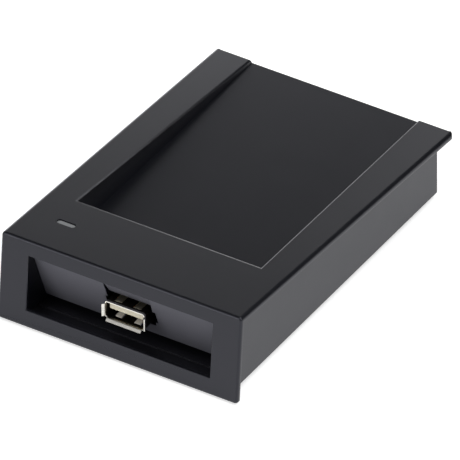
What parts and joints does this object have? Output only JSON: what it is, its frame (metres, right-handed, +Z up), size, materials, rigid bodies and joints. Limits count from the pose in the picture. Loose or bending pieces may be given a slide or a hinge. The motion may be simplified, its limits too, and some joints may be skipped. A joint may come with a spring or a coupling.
{
  "type": "smart card reader",
  "caption": "Free-standing desktop card reader with a sloping top, a level card bed open at the rear, and a USB type A socket in a recessed front window.",
  "frame": {"origin": "middle of the footprint, on the table under the rubber feet", "axes": "+X to the right seen from the socket side, +Y from the socket face to the rear, +Z up"},
  "size_m": [0.08, 0.118, 0.0288],
  "materials": {
    "black_abs": "satin black ABS with a very fine moulded texture",
    "black_abs_base": "satin black ABS with a fine spark texture",
    "blank_label": "blank silver-grey polyester label",
    "rubber": "matt black rubber",
    "screw_steel": "zinc-plated steel",
    "green_laminate": "green solder mask on glass laminate",
    "nickel_plate": "nickel-plated stamped steel",
    "cream_plastic": "cream moulded connector plastic",
    "gold_plate": "gold flash on phosphor bronze",
    "tinned_copper": "tinned copper alloy",
    "frosted_clear": "frosted clear polycarbonate",
    "led_resin": "LED package resin",
    "black_moulding": "black moulded nylon",
    "chip_resin": "black chip moulding compound",
    "nickel_can": "nickel-silver crystal can",
    "aluminium_can": "aluminium capacitor can",
    "resistor_black": "black glazed chip resistor",
    "ceramic_tan": "tan ceramic chip",
    "copper": "etched copper"
  },
  "bodies": {
    "case": {"top_cover": "black_abs", "base_tray": "black_abs_base", "rating_plate": "blank_label", "foot_front_left": "rubber", "foot_front_right": "rubber", "foot_rear_left": "rubber", "foot_rear_right": "rubber", "case_screws": "screw_steel", "board_screws": "screw_steel", "main_board": "green_laminate", "usb_shell": "nickel_plate", "usb_insulator": "cream_plastic", "usb_contact_tails": "tinned_copper", "light_pipe": "frosted_clear", "status_led": "led_resin", "buzzer": "black_moulding", "microcontroller": "chip_resin", "reader_chip": "chip_resin", "crystal": "nickel_can", "voltage_regulator": "chip_resin", "filter_capacitor": "aluminium_can", "chip_resistors": "resistor_black", "chip_capacitors": "ceramic_tan", "antenna_board": "green_laminate", "antenna_track": "copper", "antenna_header": "black_moulding"},
    "contact_leaves": {"usb_contact_leaves": "gold_plate"},
    "upper_springs": {"upper_plug_springs": "nickel_plate"},
    "lower_springs": {"lower_plug_springs": "nickel_plate"}
  },
  "joints": [
    {"name": "contact_lift", "type": "hinge", "parent": "case", "child": "contact_leaves", "pos_m": [0, -0.04538, 0.01407], "axis": [-1, 0, 0], "range_deg": [0, 3.5], "stiffness_Nm_per_rad": 0.02},
    {"name": "upper_spring_flex", "type": "hinge", "parent": "case", "child": "upper_springs", "pos_m": [0, -0.05281, 0.01611], "axis": [1, 0, 0], "range_deg": [0, 6], "stiffness_Nm_per_rad": 0.02},
    {"name": "lower_spring_flex", "type": "hinge", "parent": "case", "child": "lower_springs", "pos_m": [0, -0.05281, 0.01069], "axis": [-1, 0, 0], "range_deg": [0, 6], "stiffness_Nm_per_rad": 0.02}
  ],
  "couplings": [
    {"joint": "upper_spring_flex", "follows": "contact_lift", "ratio": 1.7143},
    {"joint": "lower_spring_flex", "follows": "contact_lift", "ratio": 1.7143}
  ]
}
